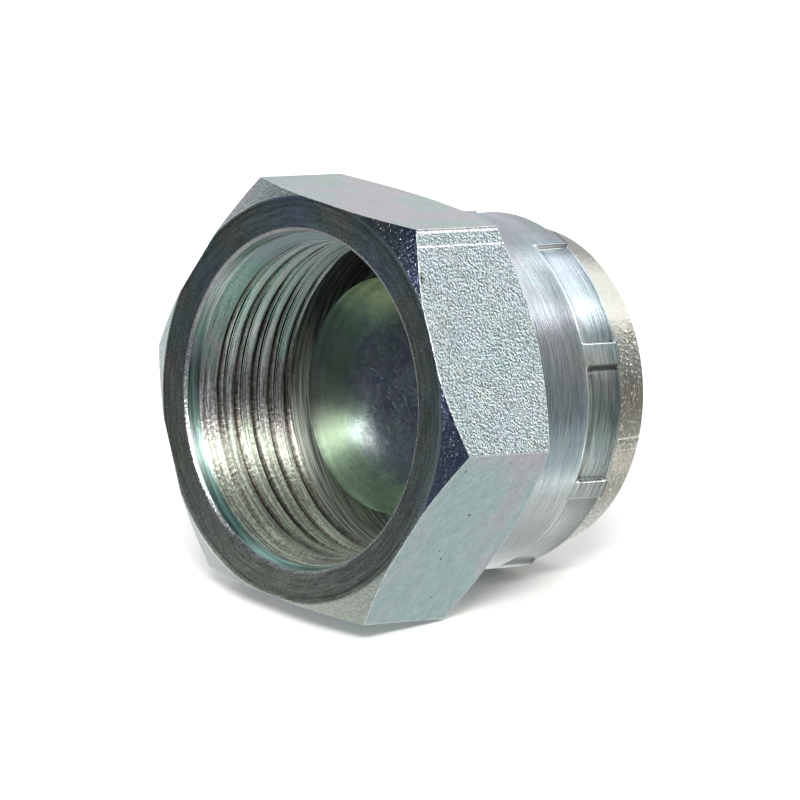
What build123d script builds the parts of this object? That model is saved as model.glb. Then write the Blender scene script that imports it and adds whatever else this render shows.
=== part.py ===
from build123d import *
import math
import os

# Swivel protection cap for a parallel pipe thread G 3/4 (BSP), 32 mm across flats.
# A hexagon nut with a round swaged tail turns freely on a solid domed plug that it holds captive.
#
# Working frame of both pieces: local z runs from the mouth face (z = 0) along the bore axis to the tail,
# local +X passes through a hexagon corner, so that local -Y is square to the flat that ends up on top.
# The finished cap lies as it comes to rest: the rear edge of the lowest flat and the crimp lip touch
# the ground, which raises the mouth by about ten degrees. +Z is up and the mouth looks towards -Y.

# ---------------------------------------------------------------- driving dimensions (mm)
AF = 32.0                      # hexagon across flats
A = AF / 2
CORNER_R = A / math.cos(math.pi / 6)

# nut, outside
RING_R = 16.2                  # outer radius of the flat ring at the mouth
FRONT_CHAMFER = 30.0           # degrees to the mouth face
HEX_REAR_Z = 11.36             # where the rear chamfer meets the middle of a flat
REAR_CHAMFER = 30.5            # degrees to a plane square to the axis
COLLAR_R = 14.45               # round collar behind the hexagon
PRESS_Z0 = 17.8                # start of the crimp segments
PRESS_RAMP = 0.95              # length of their sloping front
PRESS_Z1 = 21.7                # their rear edge
PRESS_R = 14.15                # radius of their floor
LIP_R = 14.20                  # fine raised lip at the rear edge of each segment
LIP_LEN = 0.35
SEGMENTS = 8
RIDGE_DEG = 7.5                # ridge left standing between two segments
RIDGE_AT = 5.0 - 120.0         # local angle of the first ridge's middle
TAIL_Z0 = 22.05                # front of the swaged tail band
TAIL_R0 = 13.36
TAIL_R1 = 12.92
LENGTH = 25.6                  # whole length along the axis
TAIL_EDGE = 0.25               # chamfer at the tail's outer edge

# nut, inside
MOUTH_R = 13.65                # radius of the mouth's edge
LEAD_R = 13.28                 # smooth lead-in narrows to this radius
LEAD_Z = 1.13                  # and a longer taper goes on from here to the thread
MINOR_R = 12.57                # radius of the thread's flat crests
THREAD_Z0 = 2.75               # full minor radius starts
THREAD_Z1 = 7.0                # cylindrical stretch ends just ahead of the plug's nose
THREAD_END_R = 12.61           # run-out stretch beside the nose, very slightly opening
THREAD_END_Z = 10.9
RELIEF_R = 13.30               # relief turned behind the thread
RELIEF_Z0 = 11.35
RELIEF_Z1 = 16.8               # shoulder that the plug's neck passes through
SHELF_Z = 18.2                 # front stop of the plug's flange
RUN = 0.06                     # running clearance on the radius
END_PLAY = 0.05                # end play of the flange at each side

# plug
NOSE_R = 9.45                  # head and neck
NOSE_Z = 9.65                  # base circle of the dome
DOME_R = 19.0                  # spherical radius of the dome
NOSE_EDGE = 0.10               # broken edge behind the dome
FLANGE_R = 11.0
FLANGE_Z1 = 21.9
BOSS_R = 9.89                  # rear boss inside the swaged tail
BOSS_Z = 25.15                 # flat back, a little inside the tail
BOSS_EDGE = 0.3

NECK_BORE_R = NOSE_R + RUN
FLANGE_BORE_R = FLANGE_R + RUN
TAIL_BORE_R = BOSS_R + RUN


def turned(points):
    """Solid of revolution about local Z from (radius, z) points."""
    with BuildPart() as p:
        with BuildSketch(Plane.XZ):
            with BuildLine():
                Polyline(*points, close=True)
            make_face()
        revolve(axis=Axis.Z)
    return p.part


# ---------------------------------------------------------------- swivel nut
tan_front = math.tan(math.radians(FRONT_CHAMFER))
tan_rear = math.tan(math.radians(REAR_CHAMFER))
big_r = CORNER_R + 0.5
front_z = (big_r - RING_R) * tan_front
rear_z = HEX_REAR_Z - (big_r - A) * tan_rear
collar_z = HEX_REAR_Z + (A - COLLAR_R) * tan_rear
swage = (TAIL_Z0 - PRESS_Z1) / (LIP_R - TAIL_R0)      # slope from the lip down to the tail band
ridge_end = PRESS_Z1 - (COLLAR_R - LIP_R) * swage

outside = [
    (0.0, 0.0),
    (RING_R, 0.0),
    (big_r, front_z),
    (big_r, rear_z),
    (COLLAR_R, collar_z),
    (COLLAR_R, ridge_end),
    (TAIL_R0, TAIL_Z0),
    (TAIL_R1 + 0.012, LENGTH - TAIL_EDGE),
    (TAIL_R1 - TAIL_EDGE, LENGTH),
    (0.0, LENGTH),
]
nut_blank = turned(outside)

with BuildPart() as hexagon:
    with BuildSketch(Plane.XY.offset(-1)):
        RegularPolygon(radius=CORNER_R, side_count=6)
    extrude(amount=LENGTH + 2)
nut_blank = nut_blank & hexagon.part

# crimp segments: shallow impressions with a sloping front and a fine lip at the rear
segment_deg = 360.0 / SEGMENTS - RIDGE_DEG
press = [
    (COLLAR_R + 0.4, PRESS_Z0),
    (COLLAR_R, PRESS_Z0),
    (PRESS_R, PRESS_Z0 + PRESS_RAMP),
    (PRESS_R, PRESS_Z1 - LIP_LEN),
    (LIP_R, PRESS_Z1 - LIP_LEN / 2),
    (LIP_R, PRESS_Z1 + 0.1),
    (COLLAR_R + 0.4, PRESS_Z1 + 0.1),
]
with BuildPart() as press_tool:
    with BuildSketch(Plane.XZ):
        with BuildLine():
            Polyline(*press, close=True)
        make_face()
    revolve(axis=Axis.Z, revolution_arc=segment_deg)
for k in range(SEGMENTS):
    start = RIDGE_AT + RIDGE_DEG / 2 + k * 360.0 / SEGMENTS
    nut_blank = nut_blank - Rot(0, 0, start) * press_tool.part

# bore, from the mouth to the tail
inside = [
    (0.0, -0.01),
    (MOUTH_R, -0.01),
    (MOUTH_R, 0.0),
    (LEAD_R, LEAD_Z),
    (MINOR_R, THREAD_Z0),
    (MINOR_R, THREAD_Z1),
    (THREAD_END_R, THREAD_END_Z),
    (RELIEF_R, RELIEF_Z0),
    (RELIEF_R, RELIEF_Z1),
    (NECK_BORE_R, RELIEF_Z1),
    (NECK_BORE_R, SHELF_Z),
    (FLANGE_BORE_R, SHELF_Z),
    (FLANGE_BORE_R, FLANGE_Z1 + END_PLAY),
    (TAIL_BORE_R, FLANGE_Z1 + END_PLAY),
    (TAIL_BORE_R, LENGTH + 0.01),
    (0.0, LENGTH + 0.01),
]
nut = nut_blank - turned(inside)

# ---------------------------------------------------------------- plug
nose_rise = DOME_R - math.sqrt(DOME_R ** 2 - NOSE_R ** 2)
apex_z = NOSE_Z - nose_rise
half = math.asin(NOSE_R / DOME_R) / 2
mid = (DOME_R * math.sin(half), apex_z + DOME_R * (1 - math.cos(half)))
with BuildPart() as plug_part:
    with BuildSketch(Plane.XZ):
        with BuildLine():
            ThreePointArc((0.0, apex_z), mid, (NOSE_R, NOSE_Z))
            Polyline(
                (NOSE_R, NOSE_Z),
                (NOSE_R, SHELF_Z + END_PLAY),
                (FLANGE_R, SHELF_Z + END_PLAY),
                (FLANGE_R, FLANGE_Z1),
                (BOSS_R, FLANGE_Z1),
                (BOSS_R, BOSS_Z - BOSS_EDGE),
                (BOSS_R - BOSS_EDGE, BOSS_Z),
                (0.0, BOSS_Z),
                (0.0, apex_z),
            )
        make_face()
    revolve(axis=Axis.Z)
plug = plug_part.part

# ---------------------------------------------------------------- rest pose
# lowest flat's rear edge (radius A, z HEX_REAR_Z) and the crimp lip (LIP_R, PRESS_Z1) touch the ground
tilt = math.atan2(A - LIP_R, PRESS_Z1 - HEX_REAR_Z)
c, s = math.cos(tilt), math.sin(tilt)


def placed(y, z):
    """Location that lays the local frame at rest, with the middle of the mouth face at (0, y, z)."""
    return Plane(origin=(0, y, z), x_dir=(1, 0, 0), z_dir=(0, c, -s)).location


# extents of the cap in the rest pose, about the middle of the mouth face
low_z = -A * c - HEX_REAR_Z * s
front_y = -RING_R * s
box = nut.moved(placed(0, 0)).bounding_box()
origin_y = -(box.min.Y + box.max.Y) / 2
origin_z = -low_z

nut = nut.moved(placed(origin_y, origin_z))
plug = plug.moved(placed(origin_y, origin_z))

os.makedirs("parts", exist_ok=True)
export_step(nut, "parts/swivel_nut.step")
export_step(plug, "parts/plug.step")

print("tilt_deg", math.degrees(tilt), "mouth centre", origin_y, origin_z, "apex_z", apex_z)
for name, piece in (("swivel_nut", nut), ("plug", plug)):
    b = piece.bounding_box()
    print(name, "solids", len(piece.solids()), "volume_mm3", round(piece.volume, 1),
          [round(v, 4) for v in (b.min.X, b.min.Y, b.min.Z, b.max.X, b.max.Y, b.max.Z)])
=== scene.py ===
import math
import bpy
import numpy as np
from mathutils import Matrix, Vector


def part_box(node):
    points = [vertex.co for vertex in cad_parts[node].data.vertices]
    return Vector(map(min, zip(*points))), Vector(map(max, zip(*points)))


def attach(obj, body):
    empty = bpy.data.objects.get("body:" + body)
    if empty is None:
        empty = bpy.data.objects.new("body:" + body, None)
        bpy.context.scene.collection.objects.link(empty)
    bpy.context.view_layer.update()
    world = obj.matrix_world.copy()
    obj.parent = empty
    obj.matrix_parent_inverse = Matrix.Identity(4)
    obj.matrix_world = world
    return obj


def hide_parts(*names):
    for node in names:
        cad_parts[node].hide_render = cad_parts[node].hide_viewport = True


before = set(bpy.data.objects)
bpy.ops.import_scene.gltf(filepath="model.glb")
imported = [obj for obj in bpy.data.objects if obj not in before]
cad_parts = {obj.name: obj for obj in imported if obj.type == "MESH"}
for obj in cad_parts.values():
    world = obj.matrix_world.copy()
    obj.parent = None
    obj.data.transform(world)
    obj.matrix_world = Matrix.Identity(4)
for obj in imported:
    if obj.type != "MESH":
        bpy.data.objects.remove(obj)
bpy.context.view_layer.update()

# ------------------------------------------------------------------ working frame
# Local frame of both pieces: z runs from the mouth face along the bore axis to the tail, x passes through a
# hexagon corner. Lengths below are in millimetres and become metres when a mesh is made.
MM = 0.001
A = 16.0
TILT = math.atan2(A - 14.20, 21.7 - 11.36)
CT, ST = math.cos(TILT), math.sin(TILT)
lo_nut, hi_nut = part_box("swivel_nut")
# the middle of the mouth face, from the CAD box: its lowest point is the rear edge of the lowest flat
ORIGIN = Vector((0.0, lo_nut.y + (A * ST) * MM, lo_nut.z + (A * CT + 11.36 * ST) * MM))
UP_L = Vector((0.0, -ST, -CT))         # local y in the row frame
AX_L = Vector((0.0, CT, -ST))          # local z in the row frame
PLACE = Matrix(((1, 0, 0, 0), (0, -ST, CT, ORIGIN.y), (0, -CT, -ST, ORIGIN.z), (0, 0, 0, 1)))


def ang(theta):
    """Local polar angle (radians) of a station counted clockwise round the mouth, seen from the mouth."""
    return math.radians(theta - 120.0)


# ------------------------------------------------------------------ dimensions
RING_R = 16.2
TAN_F = math.tan(math.radians(30.0))
TAN_R = math.tan(math.radians(30.5))
HEX_REAR_Z = 11.36
COLLAR_R = 14.45
PRESS_R = 14.15
LIP_R = 14.20
PITCH = 1.814
GROOVE_HALF = 0.31                   # half width of a groove's opening
ROOT_ROUND = 0.10
CREST_R = 12.59
LEAD_R = 13.28
LEAD_Z = 1.13
TAPER = (LEAD_R - CREST_R) / (2.75 - LEAD_Z)
THREAD_END = 10.95
RELIEF_R = 13.30
CORNER_ROUND = 0.10

# ------------------------------------------------------------------ small helpers


def fillet(points):
    """Rounds the corners of an open (r, z) polyline. points: (r, z, radius, segments); a corner with no segments stays."""
    out = []
    n = len(points)
    for i, (r, z, rad, seg) in enumerate(points):
        p = np.array([r, z], float)
        if seg == 0 or i in (0, n - 1):
            out.append(p)
            continue
        a = np.array(points[i - 1][:2], float) - p
        b = np.array(points[i + 1][:2], float) - p
        la, lb = np.linalg.norm(a), np.linalg.norm(b)
        a, b = a / la, b / lb
        cosang = float(np.clip(a @ b, -1, 1))
        half = math.acos(cosang) / 2
        t = min(rad / math.tan(half), 0.45 * la, 0.45 * lb)
        rr = t * math.tan(half)
        if half > 1.55:                # no corner here: spread the points along the line
            t = min(0.3 * rad, 0.4 * la, 0.4 * lb)
            for k in range(seg + 1):
                f = 2.0 * k / seg - 1.0
                out.append(p + (b if f > 0 else a) * (abs(f) * t))
            continue
        mid = (a + b)
        mid = mid / np.linalg.norm(mid)
        c = p + mid * (rr / math.sin(half))
        s, e = p + a * t, p + b * t
        vs, ve = s - c, e - c
        a0, a1 = math.atan2(vs[1], vs[0]), math.atan2(ve[1], ve[0])
        d = (a1 - a0 + math.pi) % (2 * math.pi) - math.pi
        for k in range(seg + 1):
            q = a0 + d * k / seg
            out.append(c + rr * np.array([math.cos(q), math.sin(q)]))
    return out


def hex_radius(phi):
    """Radius of the hexagon with slightly rounded corners, at local angle phi."""
    cc = (A - CORNER_ROUND) / math.cos(math.pi / 6)
    k = round(phi / (math.pi / 3))
    d = phi - k * math.pi / 3
    lim = math.atan2(CORNER_ROUND * 0.5, cc + CORNER_ROUND * math.cos(math.pi / 6))
    if abs(d) <= lim and k != -1:
        return cc * math.cos(d) + math.sqrt(CORNER_ROUND ** 2 - (cc * math.sin(d)) ** 2)
    r = A / math.cos(math.pi / 6 - abs(d))
    theta = (math.degrees(phi) + 120.0) % 360.0
    if 60.0 < theta < 66.0:
        r -= 0.040 * smooth((STEP + 0.25 - theta) / 0.5) + 0.07 * smooth((WORN - theta) / 0.9)
    return r


def smooth(x):
    x = min(1.0, max(0.0, x))
    return x * x * (3 - 2 * x)


# ------------------------------------------------------------------ columns round the axis
RIDGES = [5.0 + 45.0 * k for k in range(8)]
# each ridge: middle and half width, both at collar level
RIDGE_SHAPE = {}
for i, m in enumerate(RIDGES):
    RIDGE_SHAPE[m] = (m + [0.3, -0.5, 0.1, -4.6 + 4.7, 0.2, -0.3, 0.4, -0.2][i], 3.75 + [0.1, 0.0, 0.15, -0.4, 0.05, -0.1, 0.1, 0.0][i])

FLANK = {m: (0.35, 0.35) for m in RIDGES}
FLANK[95.0] = (0.30, 0.62)
FLANK[140.0] = (0.35, 0.45)
FLANK[185.0] = (1.5, 0.6)
base = list(np.arange(0.0, 360.0, 1.0))
extra = []
for k in range(6):
    extra += [60.0 * k + d for d in (-0.30, -0.19, -0.11, -0.05, 0.0, 0.05, 0.11, 0.19, 0.30)]
for m, (mid, half) in RIDGE_SHAPE.items():
    for e in (-1, 1):
        w = FLANK[m][0 if e < 0 else 1]
        extra += [mid - 120.0 + e * (half + d) for d in (-w - 0.3, -w, -0.55 * w, 0.0, 0.55 * w, w, w + 0.3, w + 0.9)]
# the worn upper edge of one flat and the fine step beside it
WORN = 60.9
STEP = 63.92
extra += [WORN - 120.0 + d for d in (-0.6, -0.35, -0.12, 0.0, 0.2)] + [STEP - 120.0 + d for d in (-0.34, -0.20, 0.0, 0.20, 0.34)]
cols = sorted(set(round(x % 360.0, 4) for x in base + extra))
kept = []
keys = set(round(x % 360.0, 4) for x in extra)
for x in cols:
    if x in keys or all(abs((x - y + 180) % 360 - 180) > 0.16 for y in keys):
        kept.append(x)
PHI = np.radians(np.array(kept))
N = len(PHI)


def press_depth(theta):
    """0 on a ridge, 1 on the floor of an impression, for a station in degrees."""
    best = 1.0
    for m, (mid, half) in RIDGE_SHAPE.items():
        d = (theta - mid + 180) % 360 - 180
        w = FLANK[m][0 if d < 0 else 1]
        best = min(best, smooth((abs(d) - half + w) / (2 * w)))
    return best


SEG_FRONT = [0.36, 0.34, 0.44, 0.36, 0.34, 0.36, 0.34, 0.38]      # depth behind the ramp
SEG_REAR = [0.28, 0.28, 0.30, 0.29, 0.26, 0.28, 0.27, 0.29]       # and at the lip


def press_floor(theta, t):
    """Depth of an impression's floor below the collar, t from 0 behind the ramp to 1 at the lip: each differs a little."""
    k = int(((theta - 5.0) % 360.0) // 45.0)
    near = min(abs((theta - mid + 180) % 360 - 180) - half for mid, half in RIDGE_SHAPE.values())
    end = math.exp(-(max(near, 0.0) / 2.5) ** 2)
    return press_depth(theta) * (SEG_FRONT[k] + (SEG_REAR[k] - SEG_FRONT[k]) * t + 0.05 * end)


# ------------------------------------------------------------------ swivel nut
# ring sections, in order from the lead-in out over the mouth, along the outside and back up the bore
SEC = {}


def column(phi):
    theta = (math.degrees(phi) + 120.0) % 360.0
    rh = hex_radius(phi)
    ring = min(RING_R, rh - 0.10)
    zc = max((rh - RING_R) * TAN_F, 0.10 * TAN_F)
    zr = HEX_REAR_Z - (rh - A) * TAN_R
    zb = HEX_REAR_Z + (A - COLLAR_R) * TAN_R
    pts, sec = [], []

    def add(ps, name):
        for p in ps:
            pts.append((float(p[0]), float(p[1])))
            sec.append(name)

    # mouth
    add([(LEAD_R - TAPER * 0.14, LEAD_Z + 0.14)], "lead")
    m = fillet([(LEAD_R - TAPER * 0.14, LEAD_Z + 0.14, 0, 0), (LEAD_R + 0.02, LEAD_Z, 0.03, 2), (13.45, 0.19, 0.04, 2), (13.66, 0.0, 0.04, 3), (14.6, 0.0, 0, 0)])
    add(m[1:4], "lead")
    add(m[4:7], "rim")
    add(m[7:11], "rim2")
    # mouth ring and hexagon
    o = fillet([(13.9, 0.0, 0, 0), (ring, 0.0, 0.05, 2), (rh, zc, 0.055, 3), (rh, zr, 0.055, 3), (COLLAR_R, zb, 0.12, 3), (COLLAR_R, 17.0, 0, 0)])
    add([(13.74, 0.0), (14.3, 0.0), (15.2, 0.0), (15.7, 0.0)], "ring")
    add(o[1:4], "ring_edge")
    r0, z0 = o[3]
    r1, z1 = o[4]
    add([(r0 + (r1 - r0) * f, z0 + (z1 - z0) * f) for f in (0.06, 0.5, 0.94)], "cone_f")
    add(o[4:8], "cone_f_edge")
    r0, z0 = o[7]
    r1, z1 = o[8]
    add([(r0, z0 + 0.06), (r0, z0 + 0.5 * (z1 - z0)), (r1, z1 - 0.06)], "flat")
    add(o[8:12], "flat_edge_r")
    r0, z0 = o[11]
    r1, z1 = o[12]
    add([(r0 + (r1 - r0) * f, z0 + (z1 - z0) * f) for f in (0.06, 0.5, 0.94)], "cone_r")
    add(o[12:16], "root")
    # collar and crimp
    dep = press_depth(theta)
    t = (theta % 45.0) / 45.0
    start = 17.80 + 0.10 * math.sin(math.radians(theta * 3 + 20)) * 0.8
    front = COLLAR_R - press_floor(theta, 0.0)
    floor = COLLAR_R - press_floor(theta, 1.0)
    lip = COLLAR_R - (COLLAR_R - LIP_R) * dep
    c = fillet([(COLLAR_R, 13.0, 0, 0), (COLLAR_R, start, 0.5, 2), (front, start + 0.70, 0.25, 3), (floor, 20.9, 0, 0)])
    add([(COLLAR_R, 12.7), (COLLAR_R, 14.6), (COLLAR_R, 16.6), (COLLAR_R, 17.2)], "collar")
    add(c[1:4], "ramp")
    add(c[4:8], "press")
    add([(front + (floor - front) * f, start + 0.9 + (20.9 - start - 0.9) * f) for f in (0.3, 0.65, 1.0)], "press")
    # rear lip of the impression, the ridge's end and the swaged tail
    tail_mid = 22.05
    add([(floor + 0.0 * dep, 21.15), (floor + (lip - floor) * 0.6, 21.32), (lip, 21.45), (lip, 21.58)], "lip")
    d_end = 1 - dep
    e = fillet([(lip, 21.3, 0, 0), (lip, 21.68 - 0.08 * d_end, 0.05 + 0.6 * d_end, 3), (13.40, 22.02 + 0.35 * d_end, 0.25 + 0.6 * d_end, 3), (12.94, 25.3, 0, 0)])
    add(e[1:5], "lip2")
    add(e[5:9], "tail_in")
    add([(13.40 - (z - 22.02) / (25.35 - 22.02) * 0.46, z) for z in (22.95, 23.8, 24.7)], "tail")
    g = fillet([(13.0, 24.7, 0, 0), (12.93, 25.33, 0.12, 3), (12.68, 25.6, 0.10, 2), (11.0, 25.6, 0, 0)])
    add(g[1:5], "tail_edge")
    add(g[5:8], "tail_end")
    h = fillet([(12.0, 25.6, 0, 0), (10.15, 25.6, 0.03, 1), (9.95, 25.4, 0.03, 1), (9.95, 22.0, 0, 0)])
    add([(11.6, 25.6), (10.6, 25.6)], "tail_end")
    add(h[1:5], "tail_end")
    # hidden chamber, neck bore and relief
    add([(9.95, 24.9), (9.95, 22.2), (9.95, 21.95), (11.06, 21.95), (11.06, 21.6), (11.06, 18.5), (11.06, 18.2), (9.9, 18.2), (9.51, 18.2), (9.51, 17.9), (9.51, 17.1)], "chamber")
    s = fillet([(9.51, 17.1, 0, 0), (9.51, 16.8, 0.06, 2), (RELIEF_R, 16.8, 0.25, 3), (RELIEF_R, 12.0, 0, 0)])
    add(s[1:4], "shelf")
    add([(10.2, 16.8), (11.6, 16.8), (12.7, 16.8)], "shelf")
    add(s[4:8], "relief")
    add([(RELIEF_R, z) for z in (15.6, 14.2, 12.8, 11.6, 11.15)], "relief")
    add([(RELIEF_R, THREAD_END)], "thread_face")
    return pts, sec


def thread_profile():
    """(offset along z from the groove's middle, radius) for one pitch, groove first."""
    fl = math.radians(27.5)
    c = CREST_R + GROOVE_HALF / math.tan(fl) - ROOT_ROUND / math.sin(fl)
    pts = []
    for a in (-62.5, -21, 21, 62.5):
        q = math.radians(a)
        pts.append((ROOT_ROUND * math.sin(q), c + ROOT_ROUND * math.cos(q)))
    z1, r1 = pts[-1]
    up = []
    for f in (0.45, 0.86):
        up.append((z1 + (GROOVE_HALF - z1) * f, r1 + (CREST_R - r1) * f))
    up.append((GROOVE_HALF + 0.012, CREST_R + 0.012))
    up.append((GROOVE_HALF + 0.05, CREST_R))
    out = [(-z, r) for z, r in reversed(up)] + pts + up
    for f in (0.33, 0.66):
        out.append((GROOVE_HALF + (PITCH - 2 * GROOVE_HALF) * f, CREST_R))
    return out


PROFILE = thread_profile()
PN = len(PROFILE)
GROOVE_Z = 2.90                      # depth of the first groove's middle at station 290


def helix_column(phi):
    theta = (math.degrees(phi) + 120.0) % 360.0
    # phi grows from 0 to 2 pi over the columns, so the shift does as well
    shift = PITCH * (math.degrees(phi) % 360.0) / 360.0
    z290 = GROOVE_Z - PITCH * ((290.0 - 120.0) % 360.0) / 360.0
    pts = []
    z0 = LEAD_Z + 0.14
    for k in range(-1, 7):
        for dz, r in PROFILE:
            z = z290 + k * PITCH + dz + shift
            zz = min(max(z, z0), THREAD_END)
            rr = max(r, LEAD_R - (zz - LEAD_Z) * TAPER, RELIEF_R - (THREAD_END - zz) * 3.2)
            pts.append((min(rr, RELIEF_R), zz))
    pts[0] = (LEAD_R - TAPER * 0.14, z0)
    pts[-1] = (RELIEF_R, THREAD_END)
    return pts


def build_mesh(name, verts, faces, mats, materials):
    me = bpy.data.meshes.new(name)
    me.from_pydata(verts, [], faces)
    for m in materials:
        me.materials.append(m)
    me.polygons.foreach_set("material_index", mats)
    me.polygons.foreach_set("use_smooth", [True] * len(faces))
    me.validate()
    me.update()
    ob = bpy.data.objects.new(name, me)
    bpy.context.scene.collection.objects.link(ob)
    return ob


def clean(ob, dist=2e-7):
    import bmesh
    bm = bmesh.new()
    bm.from_mesh(ob.data)
    bmesh.ops.remove_doubles(bm, verts=bm.verts, dist=dist)
    bmesh.ops.dissolve_degenerate(bm, dist=dist, edges=bm.edges)
    bmesh.ops.recalc_face_normals(bm, faces=bm.faces)
    bm.to_mesh(ob.data)
    bm.free()
    ob.data.update()


MAT_OF = {
    "lead": "lead", "chamfer_in": "lead", "rim": "rim", "rim2": "rim", "ring": "ring", "ring_edge": "ring", "cone_f": "cone", "cone_f_edge": "edge",
    "flat": "flat", "flat_edge_r": "edge", "cone_r": "cone_r", "root": "collar", "collar": "collar", "ramp": "press", "press": "press", "lip": "press",
    "lip2": "tail", "tail_in": "tail", "tail": "tail", "tail_edge": "tail", "tail_end": "tail", "chamber": "relief", "shelf": "relief",
    "relief": "relief", "thread_face": "relief",
}


def nut_mesh(materials, order):
    colpts, helix = [], []
    for phi in PHI:
        pts, sec = column(phi)
        colpts.append(pts)
        helix.append(helix_column(phi))
    names = sec
    K, H = len(names), len(helix[0])
    verts = []
    for j, phi in enumerate(PHI):
        cp, sp = math.cos(phi), math.sin(phi)
        for r, z in colpts[j] + helix[j]:
            verts.append((r * cp * MM, r * sp * MM, z * MM))
    row = K + H
    faces, mats = [], []
    for j in range(N):
        j2 = (j + 1) % N
        wrap = j2 == 0
        for i in range(K - 1):
            faces.append((j * row + i, j * row + i + 1, j2 * row + i + 1, j2 * row + i))
            name = names[i + 1] if names[i + 1] == "ring_edge" else names[i]
            mats.append(pick(name, PHI[j], PHI[j2], order))
        # the relief meets the thread's last ring, and the thread's first ring meets the lead-in
        for i in range(H - 1):
            a0, a1 = j * row + K + i, j * row + K + i + 1
            if wrap:
                b0, b1 = j2 * row + K + min(i + PN, H - 1), j2 * row + K + min(i + 1 + PN, H - 1)
            else:
                b0, b1 = j2 * row + K + i, j2 * row + K + i + 1
            faces.append((a1, a0, b0, b1))
            mats.append(order.index("thread"))
    # drop faces that clamping has closed up
    P = np.array(verts)
    keep_f, keep_m = [], []
    for f, m in zip(faces, mats):
        q = P[list(f)]
        if np.linalg.norm(np.cross(q[2] - q[0], q[3] - q[1])) > 1e-14:
            keep_f.append(f)
            keep_m.append(m)
    ob = build_mesh("nut_body", verts, keep_f, keep_m, [materials[m] for m in order])
    clean(ob)
    return ob


def pick(name, p0, p1, order):
    m = MAT_OF[name]
    mid = (math.degrees((p0 + (p1 if p1 > p0 else p1 + 2 * math.pi)) / 2) + 120.0) % 360.0
    off = abs((mid + 30.0) % 60.0 - 30.0)
    if m == "flat" and (off < 0.16 or 60.0 < mid < WORN or abs(mid - STEP) < 0.2):
        return order.index("edge")
    if m == "flat":
        th = (math.degrees((p0 + (p1 if p1 > p0 else p1 + 2 * math.pi)) / 2) + 120.0) % 360.0
        k = int(((th - 0.0) % 360.0) // 60.0)       # 0: stations 0-60 (top flat), 1: 60-120 (right flat) and so on
        m = "flat_grain" if k == 1 else "flat_soft"
    return order.index(m)


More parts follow.
